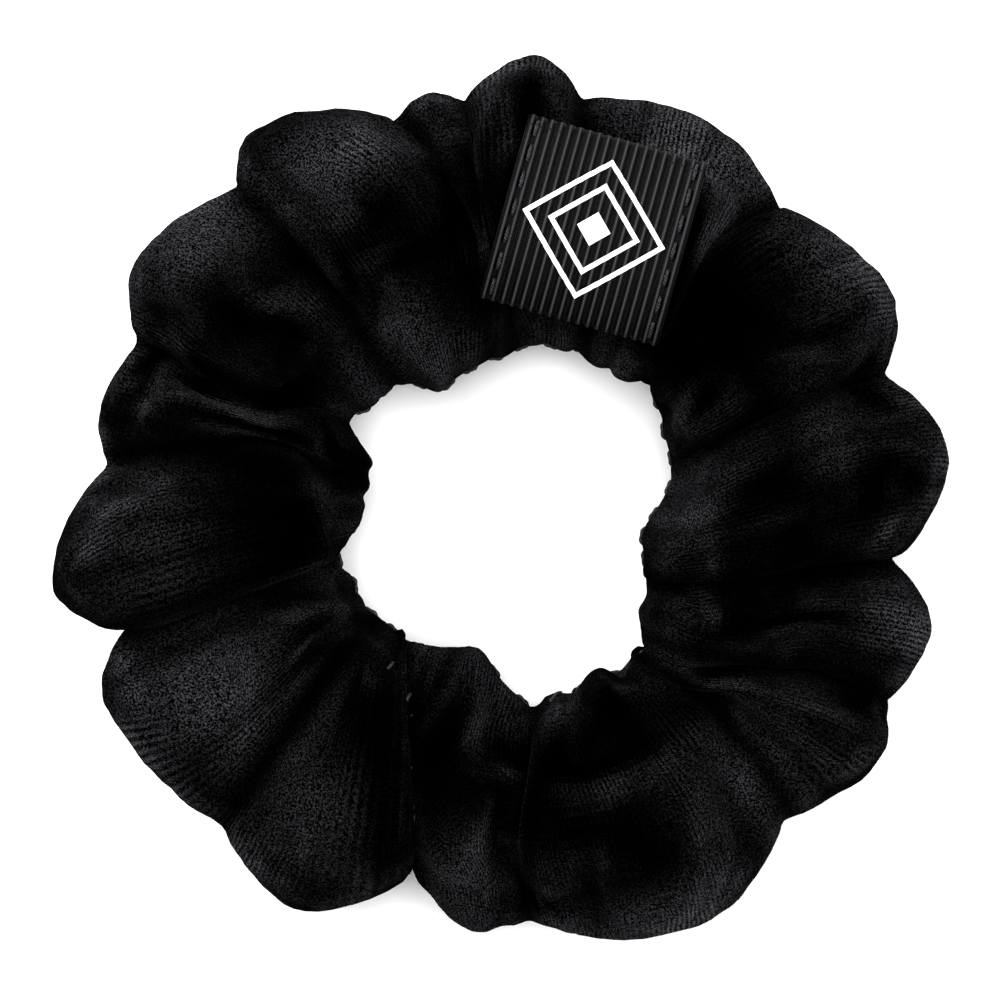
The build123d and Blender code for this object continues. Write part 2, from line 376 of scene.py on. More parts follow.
def add_fine_pleats(points, across, out, up):
    """Small uneven pleats that run out from the hole, all round and underneath."""
    draw = np.random.default_rng(7)
    angle = np.degrees(np.arctan2(points[..., 1], points[..., 0]))
    reach = np.hypot(points[..., 0], points[..., 1])
    depth = np.zeros(angle.shape)
    at = 0.0
    while at < 360.0:           # from the hole, each a part of the way out
        length = draw.uniform(0.18, 0.5)
        deep = draw.uniform(0.05, 0.35)
        wide = draw.uniform(0.8, 1.6)
        slant = draw.uniform(-8, 8)
        away = distance_from(at + slant * across, angle, reach)
        depth += deep * groove(away, wide) * (1 - smooth_step(across, length * 0.3, length))
        at += draw.uniform(6.0, 17.0)
    below = smooth_step(-up, 0.15, 0.6)
    at = 0.0
    while at < 360.0:           # underneath, all the way out
        deep = draw.uniform(0.5, 1.5)
        wide = draw.uniform(0.8, 1.6)
        slant = draw.uniform(-10, 10)
        away = distance_from(at + slant * across, angle, reach)
        depth += deep * groove(away, wide, 1.5) * below
        at += draw.uniform(9.0, 16.0)
    press_in(points, depth, out, up)


def add_node(tree, kind, inputs=None, **settings):
    """Add a node, set its properties, and fill its inputs with values or other nodes' outputs."""
    node = tree.nodes.new(kind)
    for key, value in settings.items():
        setattr(node, key, value)
    for key, value in (inputs or {}).items():
        if isinstance(value, bpy.types.NodeSocket):
            tree.links.new(value, node.inputs[key])
        else:
            node.inputs[key].default_value = value
    return node


def linear(hex_colour):
    """An sRGB hex colour as linear red, green, blue and alpha."""
    parts = [int(hex_colour[i:i + 2], 16) / 255 for i in (1, 3, 5)]
    return tuple(c / 12.92 if c <= 0.04045 else ((c + 0.055) / 1.055) ** 2.4 for c in parts) + (1,)


def new_material(name):
    """An empty node material with its output, and its tree."""
    material = bpy.data.materials.new(name)
    material.use_nodes = True
    tree = material.node_tree
    tree.nodes.clear()
    return material, tree


def finish_material(tree, shader):
    """Join the shader to the material's output."""
    add_node(tree, "ShaderNodeOutputMaterial", {"Surface": shader.outputs[0]})


def velvet():
    """Stretch velvet, warp knitted with a cut pile: near black face on, a painted sheen where it
    turns away, painted highlights in patches, painted shade in its creases, a grainy pile and
    faint rows of knit."""
    material, tree = new_material("stretch_velvet_cut_pile")
    place = add_node(tree, "ShaderNodeTexCoord")
    grain = add_node(tree, "ShaderNodeTexNoise", {
        "Vector": place.outputs["Object"], "Scale": 4800.0, "Detail": 2.0, "Roughness": 0.7})
    patches = add_node(tree, "ShaderNodeTexNoise", {
        "Vector": place.outputs["Object"], "Scale": 90.0, "Detail": 3.0, "Roughness": 0.55})
    strip = add_node(tree, "ShaderNodeMapping", {
        "Vector": place.outputs["UV"], "Scale": (STRIP_LENGTH / KNIT_PITCH, 12.0, 1.0)})
    rows = add_node(tree, "ShaderNodeTexWave", {
        "Vector": strip.outputs[0], "Scale": 0.31831, "Distortion": 6.0, "Detail": 3.0,
        "Detail Scale": 0.3}, wave_type="BANDS", bands_direction="X")
    shown = add_node(tree, "ShaderNodeMapRange", {
        "Value": patches.outputs[0], "From Min": 0.42, "From Max": 0.62,
        "To Min": 0.0, "To Max": 0.12})
    pile = add_node(tree, "ShaderNodeMix", {
        "Factor": shown.outputs[0], 2: grain.outputs[0], 3: rows.outputs[1]},
        data_type="FLOAT")
    lie = add_node(tree, "ShaderNodeMapRange", {
        "Value": pile.outputs[0], "From Min": 0.46, "From Max": 0.68, "To Min": 0.0})
    sheen_patches = add_node(tree, "ShaderNodeMapRange", {
        "Value": patches.outputs[0], "From Min": 0.38, "From Max": 0.62, "To Min": 0.05,
        "To Max": 0.7})
    # painted sheen: the base colour turns pale where the cloth turns away from the view, more in
    # some random patches than in others
    slope = add_node(tree, "ShaderNodeLayerWeight", {"Blend": 0.5})
    facing = add_node(tree, "ShaderNodeMapRange", {
        "Value": slope.outputs["Facing"], "From Min": 0.02, "From Max": SHEEN_FALLOFF},
        interpolation_type="SMOOTHSTEP")
    turned = add_node(tree, "ShaderNodeMath", {
        0: facing.outputs[0], 1: sheen_patches.outputs[0]}, operation="MULTIPLY")
    turned.use_clamp = True
    # painted highlights in patches, kept on the mesh, added to the painted sheen
    pale = add_node(tree, "ShaderNodeAttribute", attribute_name="painted_highlight")
    highlight_and_sheen = add_node(tree, "ShaderNodeMath", {
        0: pale.outputs["Fac"], 1: 0.45, 2: turned.outputs[0]}, operation="MULTIPLY_ADD")
    # painted shade: the painted highlights and sheen are dimmed along the creases
    crease = add_node(tree, "ShaderNodeAttribute", attribute_name="painted_crease_shade")
    crease_shade_factor = add_node(tree, "ShaderNodeMapRange", {
        "Value": crease.outputs["Fac"], "To Min": 1.0, "To Max": 0.12})
    shaded_highlight_and_sheen = add_node(tree, "ShaderNodeMath", {0: highlight_and_sheen.outputs[0], 1: crease_shade_factor.outputs[0]},
                        operation="MULTIPLY")
    lit = add_node(tree, "ShaderNodeMath", {0: shaded_highlight_and_sheen.outputs[0], 1: lie.outputs[0]},
                   operation="MULTIPLY")
    # the base colour runs from black to grey with the painted sheen, the painted highlights and
    # the painted crease shade, broken up by the pile's grain
    base = add_node(tree, "ShaderNodeMix", {
        "Factor": lit.outputs[0], 6: linear("#000000"), 7: linear("#525256")},
        data_type="RGBA")
    bump = add_node(tree, "ShaderNodeBump", {
        "Height": pile.outputs[0], "Strength": 0.7, "Distance": 0.0003})
    shader = add_node(tree, "ShaderNodeBsdfPrincipled", {
        "Base Color": base.outputs[2], "Roughness": 0.85, "Specular IOR Level": 0.0,
        "Sheen Weight": 0.002, "Sheen Roughness": 0.35, "Sheen Tint": linear("#d0d0d4"),
        "Normal": bump.outputs[0]})
    finish_material(tree, shader)
    return material


def grosgrain():
    """Grosgrain ribbon, woven polyester with thick weft ribs: a painted grey highlight along each
    rib and painted black shade in the valleys between them, with fine warp threads over it."""
    material, tree = new_material("grosgrain_woven_polyester")
    place = add_node(tree, "ShaderNodeTexCoord")
    in_mm = add_node(tree, "ShaderNodeMapping", {
        "Vector": place.outputs["UV"], "Scale": (RIBBON_RUN, RIBBON_WIDTH, 1.0),
        "Location": (-RIBBON_RUN / 2, 0.0, 0.0)})
    ribs, halves = (
        add_node(tree, "ShaderNodeTexWave", {
            "Vector": in_mm.outputs[0], "Scale": math.pi / 10 / pitch,
            "Phase Offset": math.pi}, wave_type="BANDS", bands_direction="X")
        for pitch in (rib_pitch(), rib_pitch() / 2))
    lines = add_node(tree, "ShaderNodeMix", {
        "Factor": 0.6, 2: ribs.outputs[1], 3: halves.outputs[1]}, data_type="FLOAT")
    threads = add_node(tree, "ShaderNodeTexWave", {
        "Vector": in_mm.outputs[0], "Scale": math.pi / 10 / WARP_PITCH, "Distortion": 0.6,
        "Detail": 1.0}, wave_type="BANDS", bands_direction="Y")
    fuzz = add_node(tree, "ShaderNodeTexNoise", {
        "Vector": place.outputs["Object"], "Scale": 4000.0, "Detail": 2.0})
    weave = add_node(tree, "ShaderNodeMix", {
        "Factor": 0.5, 2: threads.outputs[1], 3: fuzz.outputs[0]}, data_type="FLOAT")
    mixed = add_node(tree, "ShaderNodeMix", {
        "Factor": 0.16, 2: lines.outputs[0], 3: weave.outputs[0]}, data_type="FLOAT")
    # painted highlight along each rib's crest and painted shade in the valleys between the ribs
    shade = add_node(tree, "ShaderNodeValToRGB", {"Fac": mixed.outputs[0]})
    shade.color_ramp.elements[0].position = 0.5
    shade.color_ramp.elements[0].color = linear("#010101")
    shade.color_ramp.elements[1].position = 1.0
    shade.color_ramp.elements[1].color = linear("#303033")
    bump = add_node(tree, "ShaderNodeBump", {
        "Height": weave.outputs[0], "Strength": 0.4, "Distance": 0.00012})
    shader = add_node(tree, "ShaderNodeBsdfPrincipled", {
        "Base Color": shade.outputs[0], "Roughness": 0.45, "Specular IOR Level": 0.03,
        "Sheen Weight": 0.005, "Sheen Roughness": 0.4, "Normal": bump.outputs[0]})
    finish_material(tree, shader)
    return material


def print_ink():
    """White screen-print ink: an opaque matte film, slightly uneven where it bridges ribs."""
    material, tree = new_material("screen_print_ink")
    place = add_node(tree, "ShaderNodeTexCoord")
    speck = add_node(tree, "ShaderNodeTexNoise", {
        "Vector": place.outputs["Object"], "Scale": 2500.0, "Detail": 3.0})
    shade = add_node(tree, "ShaderNodeValToRGB", {"Fac": speck.outputs[0]})
    shade.color_ramp.elements[0].position = 0.3
    shade.color_ramp.elements[0].color = linear("#dcdcda")
    shade.color_ramp.elements[1].position = 0.5
    shade.color_ramp.elements[1].color = linear("#fbfbf9")
    bump = add_node(tree, "ShaderNodeBump", {
        "Height": speck.outputs[0], "Strength": 0.25, "Distance": 0.00005})
    shader = add_node(tree, "ShaderNodeBsdfPrincipled", {
        "Base Color": shade.outputs[0], "Roughness": 0.6, "Normal": bump.outputs[0]})
    finish_material(tree, shader)
    return material


def sewing_thread():
    """Spun polyester sewing thread: black, twisted, with a dull gleam on each ply."""
    material, tree = new_material("spun_polyester_thread")
    place = add_node(tree, "ShaderNodeTexCoord")
    ply = add_node(tree, "ShaderNodeTexWave", {
        "Vector": place.outputs["Object"], "Scale": 1400.0, "Distortion": 0.8},
        wave_type="BANDS", bands_direction="DIAGONAL")
    shade = add_node(tree, "ShaderNodeValToRGB", {"Fac": ply.outputs[1]})
    shade.color_ramp.elements[0].color = linear("#040405")
    shade.color_ramp.elements[1].color = linear("#17171a")
    bump = add_node(tree, "ShaderNodeBump", {
        "Height": ply.outputs[1], "Strength": 0.5, "Distance": 0.00008})
    shader = add_node(tree, "ShaderNodeBsdfPrincipled", {
        "Base Color": shade.outputs[0], "Roughness": 0.5, "Specular IOR Level": 0.2,
        "Normal": bump.outputs[0]})
    finish_material(tree, shader)
    return material


def elastic_cord():
    """Moulded thermoplastic polyurethane cord: smooth, glossy black with faint flow marks."""
    material, tree = new_material("moulded_tpu_cord")
    place = add_node(tree, "ShaderNodeTexCoord")
    flow = add_node(tree, "ShaderNodeTexNoise", {
        "Vector": place.outputs["Object"], "Scale": 300.0, "Detail": 3.0})
    shade = add_node(tree, "ShaderNodeValToRGB", {"Fac": flow.outputs[0]})
    shade.color_ramp.elements[0].color = linear("#121214")
    shade.color_ramp.elements[1].color = linear("#26262a")
    rough = add_node(tree, "ShaderNodeMapRange", {
        "Value": flow.outputs[0], "To Min": 0.18, "To Max": 0.34})
    shader = add_node(tree, "ShaderNodeBsdfPrincipled", {
        "Base Color": shade.outputs[0], "Roughness": rough.outputs[0]})
    finish_material(tree, shader)
    return material


def floor_board():
    """Matte white painted board, faintly mottled."""
    material, tree = new_material("matte_white_board")
    place = add_node(tree, "ShaderNodeTexCoord")
    mottle = add_node(tree, "ShaderNodeTexNoise", {
        "Vector": place.outputs["Object"], "Scale": 8.0, "Detail": 2.0})
    shade = add_node(tree, "ShaderNodeValToRGB", {"Fac": mottle.outputs[0]})
    shade.color_ramp.elements[0].color = linear("#f7f7f6")
    shade.color_ramp.elements[1].color = linear("#fbfbfb")
    shader = add_node(tree, "ShaderNodeBsdfPrincipled", {
        "Base Color": shade.outputs[0], "Roughness": 0.9, "Specular IOR Level": 0.1})
    finish_material(tree, shader)
    return material


def deselect_all():
    """Leave nothing selected, so that an operator acts only on what comes next."""
    if bpy.context.object and bpy.context.object.mode != "OBJECT":
        bpy.ops.object.mode_set(mode="OBJECT")
    bpy.ops.object.select_all(action="DESELECT")


def apply_modifier(piece, kind, **settings):
    """Add a modifier to the piece, set it, and apply it."""
    modifier = piece.modifiers.new(kind.lower(), kind)
    for key, value in settings.items():
        setattr(modifier, key, value)
    bpy.context.view_layer.objects.active = piece
    bpy.ops.object.modifier_apply(modifier=modifier.name)


def mesh_points(piece):
    """The piece's points in millimetres."""
    flat = np.empty(len(piece.data.vertices) * 3)
    piece.data.vertices.foreach_get("co", flat)
    return flat.reshape(-1, 3) / MM


def move_points(piece, points):
    """Put the piece's points, given in millimetres, where they belong."""
    piece.data.vertices.foreach_set("co", (np.asarray(points) * MM).ravel())
    piece.data.update()


def closed_tube(name, points):
    """A grid rolled into a closed ring through the points, its seams merged, facing out."""
    columns, rows = points.shape[:2]
    deselect_all()
    bpy.ops.mesh.primitive_grid_add(x_subdivisions=columns, y_subdivisions=rows, calc_uvs=True)
    tube = bpy.context.object
    tube.name = tube.data.name = name
    rolled = np.concatenate([points, points[:1]], axis=0)
    rolled = np.concatenate([rolled, rolled[:, :1]], axis=1)
    move_points(tube, rolled.transpose(1, 0, 2).reshape(-1, 3))
    bpy.ops.object.mode_set(mode="EDIT")
    bpy.ops.mesh.select_all(action="SELECT")
    bpy.ops.mesh.remove_doubles(threshold=1e-6)
    bpy.ops.mesh.normals_make_consistent(inside=False)
    bpy.ops.object.mode_set(mode="OBJECT")
    return tube


# ---- the label's own frame: along the ring, across it over the round top, and out ----
LABEL_LOW, LABEL_HIGH = (Vector(corner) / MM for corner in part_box("ribbon_label"))
LABEL_MIDDLE = (LABEL_LOW + LABEL_HIGH) / 2
LABEL_ANGLE = math.atan2(LABEL_MIDDLE.y - RING_AXIS.y, LABEL_MIDDLE.x - RING_AXIS.x)
ACROSS = Vector((math.cos(LABEL_ANGLE), math.sin(LABEL_ANGLE), 0))
ALONG = Vector((math.sin(LABEL_ANGLE), -math.cos(LABEL_ANGLE), 0))
BEND_CENTRE = Vector((LABEL_MIDDLE.x, LABEL_MIDDLE.y, LABEL_HIGH.z - FACE_RADIUS))


def on_label(along, across, out):
    """Where a point of the label's flat pattern lies, out being measured from its face."""
    turn = across / FACE_RADIUS
    radius = FACE_RADIUS + out
    x = BEND_CENTRE.x + along * ALONG.x + radius * np.sin(turn) * ACROSS.x
    y = BEND_CENTRE.y + along * ALONG.y + radius * np.sin(turn) * ACROSS.y
    z = BEND_CENTRE.z + radius * np.cos(turn)
    return np.stack([x, y, z + np.zeros_like(x)], axis=-1)


def from_label(points):
    """A point's along, across and out in the label's flat pattern."""
    local = points - np.array(BEND_CENTRE)
    along = local @ np.array(ALONG)
    side = local @ np.array(ACROSS)
    radius = np.hypot(side, local[..., 2])
    return along, np.arctan2(side, local[..., 2]) * FACE_RADIUS, radius - FACE_RADIUS


def seat_label(points):
    """Bring the cover's top to the ribbon's underside, and let it rise again round it."""
    along, across, out = from_label(points)
    fold_edge = LABEL_LENGTH / 2 - LABEL_FOLD
    doubled = smooth_step(np.abs(along), fold_edge - 1.2, fold_edge)
    wanted = -SEAT_DEPTH - FOLD_DEPTH * doubled
    inside = 1 - smooth_step(np.abs(along), LABEL_LENGTH / 2 - 0.2, LABEL_LENGTH / 2 + 1.6)
    inside = inside * (1 - smooth_step(np.abs(across), RIBBON_WIDTH / 2 - 0.4,
                                       RIBBON_WIDTH / 2 + 1.4))
    inside = inside * smooth_step(points[:, 2], SEAT_FROM, SEAT_FULL) * (out > -8.0)
    moved = on_label(along, across, out + (wanted - out) * inside)
    points[...] = np.where(inside[..., None] > 0, moved, points)


def paint_highlights_and_crease_shade(cover):
    """Keep on the mesh, as attributes, the painted highlight at each point, in patches painted
    pale as if lit, and the painted shade along the creases."""
    points = mesh_points(cover)
    away = points[:, :2] - np.array(RING_AXIS)[:2]
    reach = np.linalg.norm(away, axis=1)
    angle = np.degrees(np.arctan2(away[:, 1], away[:, 0]))
    # painted highlights: patches painted pale as if lit
    pale = np.zeros(len(points))
    for centre, far, along_size, across_size, amount in PAINTED_HIGHLIGHTS:
        aside = distance_from(centre, angle, reach) / along_size
        pale += amount * np.exp(-(aside ** 2 + ((reach - far) / across_size) ** 2))
    across = np.clip((reach - 16.0) / 27.0, 0.0, 1.0)
    # painted shade along the folds' creases and the narrow creases
    crease_shade = np.zeros(len(points))
    lines = [(fold[0], CREASE_SHADE_HALF_WIDTH, 1.0) for fold in FOLDS]
    lines += [(angles, half_width, NARROW_CREASE_SHADE) for angles, _, _, _, half_width in CREASES]
    for line, half_width, depth in lines:
        middle = between([near_turn(a, line[1]) for a in line], across)
        aside = distance_from(middle, angle, reach)
        crease_shade = np.maximum(crease_shade, depth * groove(aside, half_width, 2))
    for name, values in (("painted_highlight", pale), ("painted_crease_shade", crease_shade)):
        attribute = cover.data.attributes.new(name, "FLOAT", "POINT")
        attribute.data.foreach_set("value", np.clip(values, 0.0, 1.0))


def held_share(points):
    """How firmly each point is held while the cloth buckles: fully round the hole and on the
    table, EDGE_HOLD at the outer edge, and not at all over the top."""
    reach = np.hypot(points[:, 0] - RING_AXIS.x, points[:, 1] - RING_AXIS.y)
    at_hole = 1 - smooth_step(reach, 17.0, 20.5)
    below = 1 - smooth_step(points[:, 2], 1.0, 5.0)
    at_edge = smooth_step(reach, 35.0, 41.0) * EDGE_HOLD
    return np.clip(np.maximum(np.maximum(at_hole, below), at_edge), 0.0, 1.0)


def let_buckle(cover, held, settings):
    """Grow the cloth a little as Cloth, held as far as held says, so that it buckles.

    It is worked at SIM_SCALE times its size, where Cloth's own tolerances suit it."""
    start = mesh_points(cover)
    deselect_all()
    cover.select_set(True)
    bpy.context.view_layer.objects.active = cover
    bpy.ops.object.duplicate()
    worked = bpy.context.object
    move_points(worked, start * SIM_SCALE)
    group = worked.vertex_groups.new(name="held")
    for index, weight in enumerate(held):
        group.add([index], float(weight), "REPLACE")
    cloth = worked.modifiers.new("cloth", "CLOTH")
    cloth.settings.quality = 6
    cloth.settings.mass = 0.2
    cloth.settings.tension_stiffness = 15.0
    cloth.settings.compression_stiffness = 15.0
    cloth.settings.shear_stiffness = 6.0
    cloth.settings.bending_stiffness = settings.bending
    cloth.settings.shrink_min = -settings.growth
    cloth.settings.use_pressure = True
    cloth.settings.uniform_pressure_force = settings.pressure
    cloth.settings.effector_weights.gravity = 0
    cloth.settings.vertex_group_mass = "held"
    cloth.settings.pin_stiffness = 1.0
    cloth.collision_settings.use_collision = False
    for number in range(SIM_FRAMES):
        bpy.context.scene.frame_set(number + 1)
    bpy.context.view_layer.objects.active = worked
    bpy.ops.object.modifier_apply(modifier=cloth.name)
    moved = mesh_points(worked) / SIM_SCALE - start
    bpy.data.objects.remove(worked)
    bpy.context.scene.frame_set(1)
    far = np.linalg.norm(moved, axis=1, keepdims=True)
    cap = settings.movement_cap / MM
    moved *= np.tanh(far / cap) * cap / np.maximum(far, 1e-9)
    return start + moved


def clear_of_ring(points):
    """Keep the cloth's inner face off the elastic ring inside it."""
    low, high = (Vector(corner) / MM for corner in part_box("spiral_ring"))
    coil = (high.z - low.z) / 2
    ring_reach = (high.x - low.x) / 2 - coil
    middle = (high.z + low.z) / 2
    away = points[:, :2] - np.array(RING_AXIS)[:2]
    reach = np.linalg.norm(away, axis=1)
    side, rise = reach - ring_reach, points[:, 2] - middle
    gap = np.hypot(side, rise)
    wanted = coil + CLOTH_WALL + RING_AIR
    push = np.where(gap < wanted, wanted / np.maximum(gap, 0.1), 1.0)
    points[:, :2] = np.array(RING_AXIS)[:2] + away * (
        (ring_reach + side * push) / reach)[:, None]
    points[:, 2] = middle + rise * push


def rest_on_table(points):
    """Ease whatever hangs low up on to the table."""
    height = points[..., 2]
    eased = LOWEST + (LANDING - LOWEST) * np.exp((height - LANDING) / LANDING)
    points[..., 2] = np.where(height < LANDING, eased, height)


def rib_pitch():
    """The panel's distance from one rib to the next, in millimetres."""
    return bpy.context.scene.scrunchie_label.rib_pitch / MM


def rib_relief(along):
    """How far the ribbon's face stands out at a place along it: rounded ribs, sharp valleys."""
    height = bpy.context.scene.scrunchie_label.rib_height / MM
    return height * (np.abs(np.cos(math.pi * along / rib_pitch())) ** 0.7 - 1)


def ribbon_points(columns, rows):
    """The ribbon's grid of points: ribs across it, and its two cut ends turned under."""
    half = LABEL_LENGTH / 2 - TURN_RADIUS
    bend = math.pi * TURN_RADIUS
    run = np.linspace(-0.5, 0.5, columns) * RIBBON_RUN
    past = np.abs(run) - half
    turn = np.clip(past / TURN_RADIUS, 0, math.pi)
    under = np.clip(past - bend, 0, None)
    side = np.sign(run)
    along = np.where(past < 0, run, side * (half + TURN_RADIUS * np.sin(turn) - under))
    relief = rib_relief(run)
    out = -TURN_RADIUS * (1 - np.cos(turn)) + relief * np.cos(turn)
    along = along + side * relief * np.sin(turn)
    share = np.linspace(0, 1, rows)
    across = (share - 0.5)[None, :] * RIBBON_WIDTH
    loops = SELVEDGE_LOOP * (np.abs(np.cos(math.pi * run / rib_pitch())) - 0.5)
    across = across - loops[:, None] * (share < 0.5 / rows)[None, :]
    band = groove(across - RIBBON_WIDTH / 2 + OUTER_DIP[0], OUTER_DIP[1], 2)
    band = band + groove(across + RIBBON_WIDTH / 2 - INNER_DIP[0], INNER_DIP[1], 2)
    out = out[:, None] - SELVEDGE_DIP * band * np.sign(np.cos(turn))[:, None]
    return on_label(along[:, None] + 0 * across, across + 0 * along[:, None], out)


def open_sheet(name, points):
    """A flat grid laid through an array of points, with its map kept for the weave."""
    columns, rows = points.shape[:2]
    deselect_all()
    bpy.ops.mesh.primitive_grid_add(x_subdivisions=columns - 1, y_subdivisions=rows - 1,
                                    calc_uvs=True)
    piece = bpy.context.object
    piece.name = piece.data.name = name
    move_points(piece, points.transpose(1, 0, 2).reshape(-1, 3))
    return piece


def face_outwards(piece):
    """Merge the piece's doubles and turn its faces outwards."""
    bpy.context.view_layer.objects.active = piece
    bpy.ops.object.mode_set(mode="EDIT")
    bpy.ops.mesh.select_all(action="SELECT")
    bpy.ops.mesh.remove_doubles(threshold=1e-7)
    bpy.ops.mesh.normals_make_consistent(inside=False)
    bpy.ops.object.mode_set(mode="OBJECT")


def join_all(name, parts):
    """Join the parts into one piece."""
    deselect_all()
    for part in parts:
        part.select_set(True)
    bpy.context.view_layer.objects.active = parts[0]
    if len(parts) > 1:
        bpy.ops.object.join()
    piece = bpy.context.object
    piece.name = piece.data.name = name
    return piece


def printed(along, across):
    """Points of the ink, which lies on the ribs and dips part of the way between them."""
    return on_label(along, across, 0.6 * rib_relief(along) + INK_CLEARANCE)


def diamond_outline(diagonal, line):
    """A printed diamond's outline, its corners mitred."""
    corners = np.array([(1, 0), (0, 1), (-1, 0), (0, -1), (1, 0)], float)
    run = np.linspace(0, 4, 161)
    corner = np.minimum(run.astype(int), 3)
    share = (run - corner)[:, None]
    path = corners[corner] * (1 - share) + corners[corner + 1] * share
    half = diagonal / 2 - np.array([0.0, 0.5, 1.0]) * line * math.sqrt(2)
    flat = path[:, None, :] * half[None, :, None]
    return open_sheet("diamond", printed(flat[..., 0], flat[..., 1]))


def filled_diamond(diagonal):
    """A small printed diamond, filled."""
    steps = np.linspace(-0.25, 0.25, 25) * diagonal
    first, second = np.meshgrid(steps, steps, indexing="ij")
    return open_sheet("diamond", printed(first + second, first - second))


def one_stitch():
    """One stitch of two-ply thread: a short twisted run whose ends dive into the cloth."""
    length, round_it = 15, 9
    run = np.linspace(-1, 1, length)
    turn = np.arange(round_it) * 2 * math.pi / (round_it - 1)
    taper = np.sqrt(np.clip(1 - np.abs(run) ** 6, 0, 1))
    ply = 1 + PLY_SWELL * np.cos(2 * turn[None, :] - PLY_TWIST * run[:, None])
    radius = STITCH_RADIUS * taper[:, None] * ply
    dip = 0.1 - 0.42 * run ** 4
    points = np.stack([
        (run * STITCH_LENGTH / 2)[:, None] + 0 * radius,
        radius * np.cos(turn)[None, :],
        dip[:, None] + radius * np.sin(turn)[None, :],
    ], axis=-1)
    stitch = open_sheet("stitch", points)
    face_outwards(stitch)
    return stitch


def run_of_stitches(name, places):
    """Copies of one stitch at each place, given as its middle, its direction and its normal."""
    first = one_stitch()
    shape = mesh_points(first)
    parts = []
    for middle, way, normal in places:
        copy = first.copy()
        copy.data = first.data.copy()
        bpy.context.collection.objects.link(copy)
        normal = Vector(normal).normalized()
        way = Vector(way)
        way = (way - normal * way.dot(normal)).normalized()
        side = normal.cross(way)
        turned = shape @ np.array([way, side, normal])
        move_points(copy, turned + np.array(middle))
        parts.append(copy)
    bpy.data.objects.remove(first)
    piece = join_all(name, parts)
    bpy.ops.object.shade_smooth()
    piece.data.materials.append(sewing_thread())
    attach(piece, COVER_BODY)
    return piece


def label_stitch_places(side):
    """Where the stitches of one side of the label lie."""
    places = []
    for number in range(STITCHES_A_SIDE):
        across = ((number + 0.5) / STITCHES_A_SIDE - 0.5) * RIBBON_WIDTH
        along = side * (LABEL_LENGTH / 2 - STITCH_INSET)
        spot, ahead, above = (
            on_label(np.array(along), np.array(across + step), np.array(rise))
            for step, rise in ((0, -0.02), (0.1, -0.02), (0, 1.0)))
        places.append((spot, ahead - spot, above - spot))
    return places


def on_cover(cover, start, way):
    """The place and the normal where a line from start, going one way, meets the cover."""
    hit, place, normal, _ = cover.ray_cast(Vector(start) * MM, Vector(way))
    return (Vector(place) / MM, Vector(normal)) if hit else None


def lengthwise_places(cover):
    """Stitches all round the hole, where the strip's long edges are sewn together."""
    places = []
    count = round(2 * math.pi * HOLE_REACH / SEAM_STITCH_PITCH)
    for number in range(count):
        turn = 2 * math.pi * number / count
        out = Vector((math.cos(turn), math.sin(turn), 0))
        found = on_cover(cover, (RING_AXIS.x, RING_AXIS.y, MIDDLE_HEIGHT - SEAM_DROP), out)
        if found:
            place, normal = found
            places.append((place, normal.cross(Vector((0, 0, 1))), normal))
    return places


def closing_places(cover):
    """Stitches from the hole out to the edge, at the bottom of the crease where the tube's
    ends meet."""
    places = []
    for number in range(CLOSING_STITCHES):
        share = CLOSING_FROM + CLOSING_RUN * number / (CLOSING_STITCHES - 1)
        reach = 18.0 + 17.0 * share
        found = []
        for step in range(-SEARCH_STEPS, SEARCH_STEPS + 1):
            turn = math.radians(between(CLOSING_SEAM, share) + SEARCH_STEP * step)
            out = Vector((math.cos(turn), math.sin(turn), 0))
            start = (RING_AXIS.x + out.x * reach, RING_AXIS.y + out.y * reach, HIGH_UP)
            met = on_cover(cover, start, (0, 0, -1))
            if met:
                found.append((met[0].z, step, met[0], out))
        if found:
            lowest = min(found)
            sunk = Vector((0, 0, 2.2 * STITCH_RADIUS))
            places.append((lowest[2] - sunk, lowest[3], Vector((0, 0, 1))))
    return places


class CoverSettings(bpy.types.PropertyGroup):
    wall: bpy.props.FloatProperty(
        name="Cloth thickness", description="Thickness of the velvet, backing and pile",
        default=CLOTH_WALL * MM, unit="LENGTH")
    strip_length: bpy.props.FloatProperty(
        name="Strip length", description="Length of the velvet strip before gathering",
        default=STRIP_LENGTH * MM, unit="LENGTH")
    strip_width: bpy.props.FloatProperty(
        name="Strip width", description="Width of the velvet strip",
        default=STRIP_WIDTH * MM, unit="LENGTH")
    growth: bpy.props.FloatProperty(
        name="Growth", description="How much the cloth grows while it buckles", default=0.1)
    pressure: bpy.props.FloatProperty(
        name="Pressure", description="Air pressure that keeps the folds open", default=1.0)
    bending: bpy.props.FloatProperty(
        name="Bending stiffness", description="How softly the cloth buckles", default=6.0)
    movement_cap: bpy.props.FloatProperty(
        name="Movement cap", description="How far a point may move as the cloth buckles",
        default=3.0 * MM, unit="LENGTH")


class LabelSettings(bpy.types.PropertyGroup):
    rib_pitch: bpy.props.FloatProperty(
        name="Rib pitch", description="Distance from one rib of the ribbon to the next",
        default=RIB_PITCH * MM, unit="LENGTH")
    rib_height: bpy.props.FloatProperty(
        name="Rib height", description="How far the ribs stand out",
        default=RIB_HEIGHT * MM, unit="LENGTH")


class StageSettings(bpy.types.PropertyGroup):
    floor_size: bpy.props.FloatProperty(
        name="Floor size", description="Side of the square floor", default=3.0, unit="LENGTH")
    camera_height: bpy.props.FloatProperty(
        name="Camera height", description="Height of the camera above the floor",
        default=1.2, unit="LENGTH")
    view_width: bpy.props.FloatProperty(
        name="View width", description="Width of the view at the middle of the object",
        default=0.1, unit="LENGTH")


